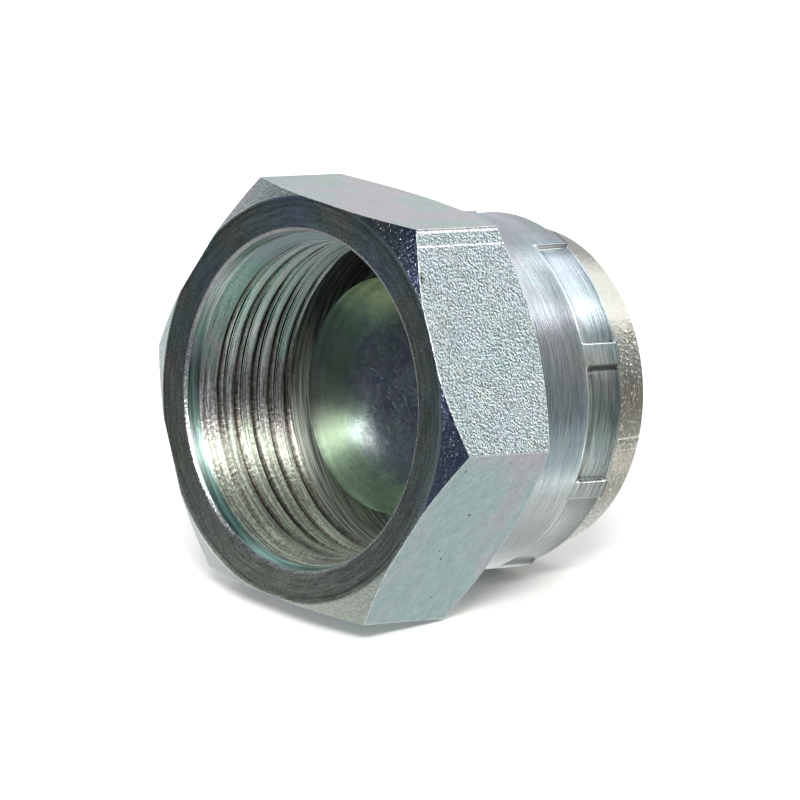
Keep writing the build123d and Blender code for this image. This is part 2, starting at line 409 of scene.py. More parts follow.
# ------------------------------------------------------------------ node tools
class T:
    """Short hand for building a node tree."""

    def __init__(self, tree):
        self.t = tree
        self.n = tree.nodes
        self.l = tree.links

    def node(self, kind, **kw):
        n = self.n.new(kind)
        for k, v in kw.items():
            setattr(n, k, v)
        return n

    def put(self, socket, v):
        if isinstance(v, bpy.types.NodeSocket):
            self.l.new(v, socket)
        elif v is not None:
            socket.default_value = v

    def math(self, op, a, b=None, c=None, clamp=False):
        n = self.node("ShaderNodeMath", operation=op, use_clamp=clamp)
        self.put(n.inputs[0], a)
        if b is not None:
            self.put(n.inputs[1], b)
        if c is not None:
            self.put(n.inputs[2], c)
        return n.outputs[0]

    def vmath(self, op, a, b=None, s=None):
        n = self.node("ShaderNodeVectorMath", operation=op)
        self.put(n.inputs[0], a)
        if b is not None:
            self.put(n.inputs[1], b)
        if s is not None:
            self.put(n.inputs["Scale"], s)
        return n.outputs["Value"] if op in ("DOT_PRODUCT", "LENGTH", "DISTANCE") else n.outputs["Vector"]

    def sep(self, v):
        n = self.node("ShaderNodeSeparateXYZ")
        self.put(n.inputs[0], v)
        return n.outputs[0], n.outputs[1], n.outputs[2]

    def comb(self, x, y, z):
        n = self.node("ShaderNodeCombineXYZ")
        for s, v in zip(n.inputs, (x, y, z)):
            self.put(s, v)
        return n.outputs[0]

    def rng(self, v, a, b, c=0.0, d=1.0, kind="SMOOTHSTEP"):
        n = self.node("ShaderNodeMapRange", interpolation_type=kind, clamp=True)
        self.put(n.inputs["Value"], v)
        for k, x in (("From Min", a), ("From Max", b), ("To Min", c), ("To Max", d)):
            self.put(n.inputs[k], x)
        return n.outputs["Result"]

    def noise(self, vec, scale, detail=2.0, rough=0.5, dist=0.0, w=None):
        n = self.node("ShaderNodeTexNoise", noise_dimensions="4D" if w is not None else "3D")
        self.put(n.inputs["Vector"], vec)
        n.inputs["Scale"].default_value = scale
        n.inputs["Detail"].default_value = detail
        n.inputs["Roughness"].default_value = rough
        n.inputs["Distortion"].default_value = dist
        if w is not None:
            n.inputs["W"].default_value = w
        return n.outputs["Fac"]

    def voronoi(self, vec, scale, feature="F1", rand=1.0, out="Distance"):
        n = self.node("ShaderNodeTexVoronoi", feature=feature)
        self.put(n.inputs["Vector"], vec)
        n.inputs["Scale"].default_value = scale
        n.inputs["Randomness"].default_value = rand
        return n.outputs[out]

    def ramp(self, fac, stops, kind="EASE"):
        n = self.node("ShaderNodeValToRGB")
        self.put(n.inputs[0], fac)
        cr = n.color_ramp
        cr.interpolation = kind
        while len(cr.elements) > 1:
            cr.elements.remove(cr.elements[-1])
        cr.elements[0].position = stops[0][0]
        cr.elements[0].color = (*stops[0][1], 1)
        for p, c in stops[1:]:
            e = cr.elements.new(p)
            e.color = (*c, 1)
        return n.outputs["Color"]

    def mix(self, fac, a, b, blend="MIX"):
        n = self.node("ShaderNodeMix", data_type="RGBA", blend_type=blend)
        self.put(n.inputs["Factor"], fac)
        for s, v in (("A", a), ("B", b)):
            sock = [q for q in n.inputs if q.name == s and q.type == "RGBA"][0]
            self.put(sock, (*v, 1) if isinstance(v, tuple) and len(v) == 3 else v)
        return [q for q in n.outputs if q.type == "RGBA"][0]

    def curve(self, v, stops):
        """A number that follows (value, result) stops in straight lines."""
        a, b = stops[0][0], stops[-1][0]
        top = max(q for _, q in stops)
        fac = self.rng(v, a, b, 0.0, 1.0, "LINEAR")
        return self.math("MULTIPLY", self.ramp(fac, [((p - a) / (b - a), (q / top,) * 3) for p, q in stops], "LINEAR"), top)

    def station(self, cx, cy, theta, radius, half):
        """1 on a line along the axis at a station, half millimetres to either side."""
        q = math.radians(theta - 120.0)
        s = self.math("SUBTRACT", self.math("MULTIPLY", cy, radius * math.cos(q)), self.math("MULTIPLY", cx, radius * math.sin(q)))
        ahead = self.rng(self.math("ADD", self.math("MULTIPLY", cx, math.cos(q)), self.math("MULTIPLY", cy, math.sin(q))), 0.0, 0.1)
        return self.times(self.rng(self.math("ABSOLUTE", s), half, half * 0.35), ahead)

    def shade(self, col, f):
        """Colour times a number."""
        return self.vmath("SCALE", col, s=f)

    def times(self, a, *more):
        for b in more:
            a = self.math("MULTIPLY", a, b)
        return a

    def hairs(self, vec, scale, width, w=0.0, detail=1.0, dist=0.4):
        """Thin wandering lines where a noise crosses its middle value."""
        n = self.noise(vec, scale, detail, 0.5, dist, w=w)
        return self.rng(self.math("ABSOLUTE", self.math("SUBTRACT", n, 0.5)), width, 0.0)

    def spots(self, pos, places):
        """Small round marks: (point, radius) in local millimetres."""
        out = None
        for point, radius in places:
            f = self.rng(self.vmath("DISTANCE", pos, tuple(point)), radius, radius * 0.45)
            out = f if out is None else self.math("MAXIMUM", out, f)
        return out

    def bump(self, height, strength=1.0, distance=0.0001, normal=None):
        n = self.node("ShaderNodeBump")
        n.inputs["Strength"].default_value = strength
        n.inputs["Distance"].default_value = distance
        self.put(n.inputs["Height"], height)
        if normal is not None:
            self.put(n.inputs["Normal"], normal)
        return n.outputs["Normal"]


def metal(name, rough=0.3, aniso=0.0, color=(0.6, 0.64, 0.64)):
    m = bpy.data.materials.new(name)
    m.use_nodes = True
    m.node_tree.nodes.clear()
    t = T(m.node_tree)
    p = t.node("ShaderNodeBsdfPrincipled")
    out = t.node("ShaderNodeOutputMaterial")
    t.l.new(p.outputs["BSDF"], out.inputs["Surface"])
    p.inputs["Metallic"].default_value = 1.0
    p.inputs["Roughness"].default_value = rough
    p.inputs["Base Color"].default_value = (*color, 1)
    p.inputs["Anisotropic"].default_value = aniso
    p.inputs["Anisotropic Rotation"].default_value = 0.25 if aniso else 0.0
    if aniso:
        tc = t.node("ShaderNodeTexCoord")
        rel = t.vmath("SUBTRACT", tc.outputs["Object"], tuple(ORIGIN))
        round_axis = t.vmath("CROSS_PRODUCT", tuple(AX_L), rel)
        tr = t.node("ShaderNodeVectorTransform", vector_type="VECTOR", convert_from="OBJECT", convert_to="WORLD")
        t.l.new(round_axis, tr.inputs[0])
        t.l.new(t.vmath("NORMALIZE", tr.outputs[0]), p.inputs["Tangent"])
    m.diffuse_color = (*color, 1)
    return m, t, p


def coords(t):
    """Local position in millimetres, radius, unit vector round the axis and z."""
    tc = t.node("ShaderNodeTexCoord")
    rel = t.vmath("SCALE", t.vmath("SUBTRACT", tc.outputs["Object"], tuple(ORIGIN)), s=1000.0)
    x = t.vmath("DOT_PRODUCT", rel, (1.0, 0.0, 0.0))
    y = t.vmath("DOT_PRODUCT", rel, tuple(UP_L))
    z = t.vmath("DOT_PRODUCT", rel, tuple(AX_L))
    pos = t.comb(x, y, z)
    r = t.math("SQRT", t.math("ADD", t.math("MULTIPLY", x, x), t.math("MULTIPLY", y, y)))
    inv = t.math("DIVIDE", 1.0, t.math("MAXIMUM", r, 0.001))
    cx, cy = t.math("MULTIPLY", x, inv), t.math("MULTIPLY", y, inv)
    return pos, x, y, z, r, cx, cy


TINTS = [(0.0, (0.56, 0.62, 0.66)), (0.35, (0.57, 0.66, 0.64)), (0.5, (0.62, 0.66, 0.66)), (0.62, (0.66, 0.63, 0.68)), (0.8, (0.66, 0.66, 0.60)), (1.0, (0.58, 0.66, 0.61))]


def tint(t, pos, scale=0.16, stops=TINTS, w=0.0):
    n = t.noise(pos, scale, 3.0, 0.55, 0.6, w=w)
    return t.ramp(t.rng(n, 0.3, 0.7, 0.0, 1.0, "LINEAR"), stops)


# ------------------------------------------------------------------ materials
def streak_vec(t, cx, cy, along, round_k, along_k):
    """Coordinates that stretch a pattern round the axis and pack it along `along` (radius or z)."""
    return t.comb(t.math("MULTIPLY", cx, round_k), t.math("MULTIPLY", cy, round_k), t.math("MULTIPLY", along, along_k))


def on_flat(k, u, z):
    """Local point on flat k (stations 60 k to 60 k + 60), u along it from its middle, z deep."""
    q = math.radians(60.0 * k + 30.0 - 120.0)
    return (A * math.cos(q) - u * math.sin(q), A * math.sin(q) + u * math.cos(q), z)


def mat_ring():
    m, t, p = metal("mouth_ring", 0.28, 0.35)
    pos, x, y, z, r, cx, cy = coords(t)
    marks = t.noise(streak_vec(t, cx, cy, r, 0.8, 1.0), 7.0, 3.0, 0.6)
    rings = t.noise(streak_vec(t, cx, cy, r, 0.25, 1.0), 4.2, 2.0, 0.5, w=2.0)
    grain = t.noise(pos, 5.0, 3.0, 0.65, w=1.0)
    blot = t.noise(pos, 0.14, 2.0, 0.5, 0.5)
    col = t.ramp(t.rng(blot, 0.32, 0.68, 0.0, 1.0, "LINEAR"), [(0.0, (0.34, 0.41, 0.50)), (0.45, (0.34, 0.44, 0.43)), (0.7, (0.41, 0.43, 0.38)), (1.0, (0.47, 0.43, 0.43))])
    # painted reflection: the ring grows lighter and browner towards the bottom, darker towards the top
    low = t.rng(y, -12.0, 15.0, 0.0, 1.0, "LINEAR")
    col = t.mix(t.times(low, 0.8), col, (0.54, 0.56, 0.46))
    col = t.shade(col, t.rng(low, 0.0, 1.0, 1.0, 1.12, "LINEAR"))
    coarse = t.noise(streak_vec(t, cx, cy, r, 9.0, 1.0), 1.6, 3.0, 0.7, w=4.0)
    f = t.times(t.rng(grain, 0.3, 0.7, 0.76, 1.26, "LINEAR"), t.rng(marks, 0.3, 0.7, 0.58, 1.44, "LINEAR"), t.rng(coarse, 0.3, 0.7, 0.86, 1.14, "LINEAR"))
    outer = t.rng(r, 14.9, 15.9)
    f = t.times(f, t.math("SUBTRACT", 1.0, t.times(outer, t.rng(rings, 0.50, 0.38), 0.42)))
    f = t.math("ADD", f, t.times(outer, t.rng(rings, 0.56, 0.66), 0.5))
    f = t.math("ADD", f, t.times(t.rng(r, 16.02, 16.12), 0.9))
    t.put(p.inputs["Base Color"], t.shade(col, f))
    t.put(p.inputs["Roughness"], t.rng(grain, 0.3, 0.7, 0.24, 0.32, "LINEAR"))
    b = t.bump(marks, 0.35, 0.00002)
    b = t.bump(grain, 0.2, 0.00003, b)
    t.put(p.inputs["Normal"], b)
    return m


def mat_rim():
    m, t, p = metal("mouth_rim", 0.34, 0.4)
    pos, x, y, z, r, cx, cy = coords(t)
    n = t.noise(pos, 5.5, 3.0, 0.65)
    wide = t.noise(streak_vec(t, cx, cy, r, 2.0, 1.0), 1.0, 2.0, 0.5, w=2.0)
    # painted reflection: light pinkish grey towards the top of the rim, dark grey lower down
    low = t.mix(t.rng(y, -4.0, -1.0), (0.74, 0.69, 0.68), (0.36, 0.37, 0.40))
    col = t.mix(t.rng(n, 0.40, 0.62), low, (0.95, 0.96, 0.97))
    t.put(p.inputs["Base Color"], t.shade(col, t.rng(wide, 0.36, 0.6, 0.78, 1.08)))
    t.put(p.inputs["Normal"], t.bump(n, 1.0, 0.00005))
    return m


def mat_lead():
    m, t, p = metal("lead_in", 0.38, 0.85)
    pos, x, y, z, r, cx, cy = coords(t)
    v = streak_vec(t, cx, cy, z, 0.8, 1.0)
    fine = t.noise(v, 9.0, 3.0, 0.6)
    wide = t.noise(streak_vec(t, cx, cy, z, 0.5, 1.0), 2.6, 2.0, 0.5)
    col = tint(t, pos, 0.16, [(0, (0.50, 0.68, 0.68)), (0.4, (0.54, 0.74, 0.68)), (0.6, (0.66, 0.68, 0.76)), (1.0, (0.56, 0.72, 0.70))], 3.0)
    # painted light: up to 22% brighter towards the top; the bottom is tinted more teal
    col = t.mix(t.times(t.rng(y, 7.0, 11.0), 0.75), col, (0.44, 0.74, 0.70))
    turned = t.noise(streak_vec(t, cx, cy, z, 0.35, 1.0), 5.5, 2.0, 0.5, w=6.0)
    f = t.times(t.rng(fine, 0.3, 0.7, 0.78, 1.2, "LINEAR"), t.rng(wide, 0.36, 0.52, 0.62, 1.12), t.rng(y, 1.5, -2.0, 1.0, 1.22))
    f = t.times(f, t.rng(turned, 0.40, 0.56, 0.58, 1.24))
    t.put(p.inputs["Base Color"], t.shade(col, f))
    t.put(p.inputs["Normal"], t.bump(fine, 0.5, 0.00002))
    return m


def mat_thread():
    m, t, p = metal("thread", 0.50, 0.92)
    p.inputs["Specular Tint"].default_value = (0.55, 0.60, 0.58, 1)
    p.inputs["Metallic"].default_value = 0.86
    pos, x, y, z, r, cx, cy = coords(t)
    # depth measured along the thread; the seam of the angle lies at station 90
    ca, sa = math.cos(math.radians(150.0)), math.sin(math.radians(150.0))
    turn = t.math("ARCTAN2", t.math("SUBTRACT", t.math("MULTIPLY", cy, ca), t.math("MULTIPLY", cx, sa)), t.math("ADD", t.math("MULTIPLY", cx, ca), t.math("MULTIPLY", cy, sa)))
    zh = t.math("SUBTRACT", z, t.math("MULTIPLY", t.math("ADD", turn, math.radians(150.0)), PITCH / (2 * math.pi)))
    phase = t.math("SUBTRACT", t.math("FRACT", t.math("ADD", t.math("DIVIDE", t.math("SUBTRACT", zh, GROOVE_Z - PITCH * 170.0 / 360.0), PITCH), 0.5)), 0.5)
    off = t.math("MULTIPLY", phase, PITCH)
    fine = t.noise(streak_vec(t, cx, cy, zh, 0.35, 1.0), 8.0, 2.0, 0.6)
    broad = t.noise(streak_vec(t, cx, cy, zh, 0.4, 1.0), 2.6, 2.0, 0.5, w=3.0)
    grain = t.noise(streak_vec(t, cx, cy, zh, 8.0, 1.0), 5.0, 2.0, 0.6, w=5.0)
    wob = t.noise(pos, 0.18, 3.0, 0.55, 0.5, w=1.0)
    h = t.rng(t.math("ADD", y, t.rng(wob, 0.3, 0.7, -4.0, 4.0, "LINEAR")), -10.0, 13.0, 0.0, 1.0, "LINEAR")
    col = t.ramp(h, [(0.0, (0.53, 0.64, 0.67)), (0.14, (0.45, 0.66, 0.60)), (0.30, (0.49, 0.67, 0.60)), (0.42, (0.64, 0.64, 0.65)), (0.60, (0.72, 0.68, 0.68)), (0.74, (0.68, 0.71, 0.62)), (1.0, (0.66, 0.70, 0.60))])
    past = t.rng(z, 2.75, 3.1, 0.0, 1.0)
    top = t.rng(t.math("ADD", y, t.rng(wob, 0.3, 0.7, -1.0, 1.0, "LINEAR")), 2.5, -3.5)
    left = t.times(t.rng(y, 7.5, 3.0), t.rng(y, -7.5, -3.0))
    smooth_band = t.times(t.math("SUBTRACT", 1.0, past), top)
    amount = t.math("SUBTRACT", 1.0, t.times(top, 0.55))
    amount = t.times(amount, t.math("SUBTRACT", 1.0, t.times(smooth_band, 0.8)))
    g = t.math("ADD", 1.0, t.times(amount, t.rng(grain, 0.30, 0.70, -0.46, 0.46, "LINEAR")))
    f = t.times(t.rng(fine, 0.32, 0.68, 0.46, 1.38, "LINEAR"), g, t.rng(broad, 0.34, 0.60, 0.60, 1.10))
    f = t.math("ADD", t.times(f, t.math("SUBTRACT", 1.0, smooth_band)), t.times(smooth_band, t.rng(fine, 0.3, 0.7, 0.95, 1.25, "LINEAR")))
    thin = t.noise(streak_vec(t, cx, cy, zh, 0.12, 1.0), 8.5, 2.0, 0.5, w=12.0)
    # painted light: the crests beyond the taper are brightened up to 4.6 times towards the top, and a band at y 1 to
    # 6.5 up to 14% more
    f = t.times(f, t.math("ADD", 1.0, t.times(top, past, 3.6)))
    f = t.times(f, t.math("ADD", 1.0, t.times(t.rng(y, 1.0, 2.5), t.rng(y, 6.5, 5.0), 0.14)))
    f = t.times(f, t.math("SUBTRACT", 1.0, t.times(t.rng(thin, 0.50, 0.56), top, t.rng(past, 0.0, 1.0, 0.3, 1.0, "LINEAR"), 0.62)))
    # a pair of dark lines beside each groove and a fine one on the crest: painted shade along the grooves, strongest
    # towards the top and near y = 0
    pair = t.math("MAXIMUM", t.rng(t.math("ABSOLUTE", t.math("SUBTRACT", off, 0.41)), 0.12, 0.05), t.rng(t.math("ABSOLUTE", t.math("SUBTRACT", off, 0.62)), 0.06, 0.02))
    pair = t.math("MAXIMUM", pair, t.times(t.rng(t.math("ABSOLUTE", t.math("ADD", off, 0.42)), 0.07, 0.02), 0.7))
    f = t.times(f, t.math("SUBTRACT", 1.0, t.times(pair, past, t.math("ADD", t.times(top, 0.74), t.times(left, 0.78)))))
    dash = t.noise(streak_vec(t, cx, cy, zh, 0.6, 1.0), 8.0, 2.0, 0.55, w=14.0)
    f = t.times(f, t.math("SUBTRACT", 1.0, t.times(t.rng(dash, 0.54, 0.62), left, 0.60)))
    # painted shade: 20% darker near y = 0
    f = t.times(f, t.math("SUBTRACT", 1.0, t.times(left, 0.20)))
    vary = t.rng(t.noise(streak_vec(t, cx, cy, zh, 0.9, 0.25), 1.6, 2.0, 0.5, w=8.0), 0.34, 0.60, 0.45, 1.0)
    # painted shade: the groove walls and roots darker, more so towards the top
    wall = t.times(t.rng(r, CREST_R + 0.02, CREST_R + 0.10), past, vary)
    deep = t.times(t.rng(r, CREST_R + 0.16, CREST_R + 0.32), past)
    f = t.times(f, t.math("SUBTRACT", 1.0, t.times(wall, t.rng(top, 0.0, 1.0, 0.55, 0.76))), t.math("SUBTRACT", 1.0, t.times(deep, t.rng(top, 0.0, 1.0, 0.65, 0.9))))
    dusty = t.noise(pos, 7.0, 2.0, 0.6, w=23.0)
    upper = t.times(t.rng(y, 1.0, -3.0), t.rng(y, -11.5, -8.5))
    f = t.times(f, t.math("ADD", 1.0, t.times(upper, t.rng(dusty, 0.3, 0.7, -0.34, 0.34, "LINEAR"))))
    col = t.mix(t.times(wall, 0.6), col, (0.60, 0.52, 0.44))
    # painted glints: bright specks towards the bottom, y 3 to 7
    f = t.math("ADD", f, t.times(t.rng(t.noise(pos, 5.5, 2.0, 0.6, w=17.0), 0.64, 0.74), t.rng(y, 3.0, 7.0), 0.7))
    t.put(p.inputs["Base Color"], t.shade(col, f))
    b = t.bump(fine, 0.6, 0.00004)
    b = t.bump(grain, 0.9, 0.00005, b)
    t.put(p.inputs["Normal"], b)
    return m


def mat_relief():
    m, t, p = metal("relief", 0.46, 0.8)
    p.inputs["Metallic"].default_value = 0.86
    pos, x, y, z, r, cx, cy = coords(t)
    fine = t.noise(streak_vec(t, cx, cy, t.math("ADD", z, r), 0.4, 1.0), 6.5, 3.0, 0.6)
    col = t.mix(t.rng(fine, 0.40, 0.60), (0.25, 0.30, 0.28), (0.88, 0.92, 0.84))
    # painted shade: the relief darkens towards the top, to about a quarter at y -13
    t.put(p.inputs["Base Color"], t.shade(col, t.curve(y, [(-13.0, 0.26), (-8.0, 0.32), (-4.0, 0.45), (-1.0, 0.60), (5.0, 1.0)])))
    t.put(p.inputs["Normal"], t.bump(fine, 0.6, 0.00005))
    return m


SPECKS = [(on_flat(2, u, zz), rr) for u, zz, rr in ((-7.6, 1.9, 0.16), (-8.3, 6.2, 0.10), (-2.6, 5.4, 0.20), (1.3, 4.6, 0.12), (2.2, 5.3, 0.16), (4.9, 3.1, 0.10), (6.6, 7.0, 0.12), (-5.5, 8.6, 0.10))]


def mat_flat(grain_amount, name):
    m, t, p = metal(name, 0.36)
    pos, x, y, z, r, cx, cy = coords(t)
    g = t.noise(pos, 2.6, 2.0, 0.55)
    soft = t.noise(pos, 0.7, 3.0, 0.5)
    if grain_amount > 0.5:
        g = t.noise(pos, 5.0, 2.0, 0.5, 0.0)
        fine = t.noise(pos, 10.0, 2.0, 0.6, w=3.0)
        col = tint(t, pos, 0.10, [(0.0, (0.54, 0.66, 0.68)), (0.35, (0.56, 0.67, 0.66)), (0.6, (0.59, 0.67, 0.69)), (1.0, (0.60, 0.66, 0.63))], 5.0)
        col = t.mix(t.times(t.rng(t.noise(pos, 2.6, 2.0, 0.5, w=9.0), 0.50, 0.64), 0.4), col, (0.65, 0.64, 0.73))
        col = t.mix(t.times(t.rng(t.noise(pos, 2.6, 2.0, 0.5, w=19.0), 0.50, 0.64), 0.5), col, (0.55, 0.71, 0.69))
        col = t.mix(t.times(t.rng(t.noise(pos, 0.55, 2.0, 0.5, 0.4, w=29.0), 0.50, 0.62), 0.36), col, (0.55, 0.64, 0.74))
        col = t.mix(t.times(t.rng(t.noise(pos, 0.55, 2.0, 0.5, 0.4, w=31.0), 0.50, 0.62), 0.34), col, (0.59, 0.70, 0.62))
        col = t.mix(t.times(t.rng(t.noise(pos, 0.70, 2.0, 0.5, 0.4, w=37.0), 0.56, 0.66), 0.26), col, (0.69, 0.66, 0.62))
        h = t.math("ADD", g, t.math("MULTIPLY", fine, 0.30))
        b = t.bump(h, 1.0, 0.00008)
        p.inputs["Roughness"].default_value = 0.30
        f = t.times(t.rng(g, 0.34, 0.60, 0.56, 1.14), t.rng(soft, 0.3, 0.7, 0.92, 1.06, "LINEAR"))
        nick = t.spots(pos, [(on_flat(1, -5.18, 0.30), 0.50)])
        f = t.times(f, t.math("SUBTRACT", 1.0, t.times(nick, 0.72)))
        t.put(p.inputs["Base Color"], t.shade(col, f))
        b = t.bump(nick, 1.0, 0.00010, b)
        b.node.invert = True
    else:
        col = tint(t, pos, 0.10, [(0.0, (0.54, 0.62, 0.62)), (0.4, (0.56, 0.66, 0.64)), (0.62, (0.66, 0.63, 0.66)), (1.0, (0.58, 0.66, 0.63))], 5.0)
        col = t.mix(t.times(t.rng(t.vmath("DISTANCE", pos, on_flat(2, -8.2, 8.0)), 3.0, 0.8), 0.7), col, (0.70, 0.62, 0.65))
        speck = t.noise(pos, 1.6, 3.0, 0.6, w=7.0)
        dots = t.math("MAXIMUM", t.rng(speck, 0.70, 0.78), t.spots(pos, SPECKS))
        col = t.mix(dots, col, (0.16, 0.17, 0.16))
        col = t.shade(col, t.rng(g, 0.3, 0.7, 0.86, 0.98, "LINEAR"))
        # painted shade: the lower right flat is darker and greener
        lower = t.rng(t.math("ADD", t.math("MULTIPLY", cx, 0.866), t.math("MULTIPLY", cy, 0.5)), 0.84, 0.862)
        col = t.mix(lower, col, t.vmath("MULTIPLY", col, (0.86, 0.92, 0.91)))
        b = t.bump(g, 0.5, 0.00003)
        b = t.bump(soft, 0.3, 0.0002, b)
        t.put(p.inputs["Base Color"], col)
        t.put(p.inputs["Roughness"], t.rng(soft, 0.3, 0.7, 0.32, 0.42, "LINEAR"))
    t.put(p.inputs["Normal"], b)
    return m


def mat_edge():
    m, t, p = metal("worn_edge", 0.34)
    pos, x, y, z, r, cx, cy = coords(t)
    n = t.noise(pos, 3.2, 3.0, 0.6)
    t.put(p.inputs["Base Color"], t.mix(t.rng(n, 0.38, 0.56), (0.60, 0.64, 0.65), (0.95, 0.96, 0.96)))
    t.put(p.inputs["Normal"], t.bump(n, 0.7, 0.00012))
    return m


def mat_cone(name):
    m, t, p = metal(name, 0.27, 0.3)
    pos, x, y, z, r, cx, cy = coords(t)
    fine = t.noise(streak_vec(t, cx, cy, r, 1.5, 1.0), 6.0, 3.0, 0.6)
    speck = t.noise(pos, 3.6, 3.0, 0.62)
    pale = tint(t, pos, 0.12, [(0.0, (0.56, 0.64, 0.68)), (0.4, (0.58, 0.70, 0.68)), (0.62, (0.66, 0.65, 0.70)), (1.0, (0.62, 0.70, 0.64))], 8.0)
    # painted reflection: the chamfer facets on one side take a dark navy colour standing in for the dark room they
    # mirror, darkened further below
    navy_painted_reflection = tint(t, pos, 0.22, [(0.0, (0.20, 0.26, 0.50)), (0.4, (0.28, 0.37, 0.50)), (0.62, (0.24, 0.28, 0.48)), (1.0, (0.25, 0.33, 0.42))], 8.0)
    side = t.math("SUBTRACT", t.math("MULTIPLY", x, 0.866), t.math("MULTIPLY", y, 0.5))
    # painted reflection and shade on the pale facets: lighter and yellowish low down, 10% darker towards the upper
    # left, greyer with fewer specks on the lower left
    pale = t.mix(t.times(t.rng(y, 6.0, 14.0), t.rng(x, -4.0, 6.0)), pale, (0.92, 0.98, 0.84))
    pale = t.shade(pale, t.rng(t.math("SUBTRACT", t.math("MULTIPLY", cx, -0.5), t.math("MULTIPLY", cy, 0.866)), 0.7, 0.9, 1.0, 0.90))
    low_left = t.rng(t.math("ADD", t.math("MULTIPLY", cx, -0.5), t.math("MULTIPLY", cy, 0.866)), 0.86, 0.94)
    pale = t.mix(low_left, pale, (0.47, 0.51, 0.49))
    speck = t.math("ADD", t.times(speck, t.math("SUBTRACT", 1.0, t.times(low_left, 0.8))), t.times(low_left, 0.4))
    navy_painted_reflection = t.shade(navy_painted_reflection, 0.74)
    dull = t.times(t.rng(side, 15.2, 12.8), t.rng(y, -9.0, -12.0), t.rng(t.noise(pos, 1.1, 3.0, 0.6, w=15.0), 0.40, 0.56, 0.3, 1.0))
    navy_painted_reflection = t.mix(t.times(dull, 0.85), navy_painted_reflection, (0.34, 0.37, 0.31))
    col = t.mix(t.rng(side, 6.0, 13.0), pale, navy_painted_reflection)
    col = t.shade(col, t.rng(speck, 0.3, 0.7, 0.75, 1.15, "LINEAR"))
    col = t.mix(t.times(t.rng(speck, 0.58, 0.68), t.rng(side, 6.0, 13.0, 1.0, 0.45)), col, (0.86, 0.90, 0.94))
    t.put(p.inputs["Base Color"], col)
    b = t.bump(fine, 0.35, 0.00003)
    b = t.bump(speck, 1.0, 0.00009, b)
    t.put(p.inputs["Normal"], b)
    return m


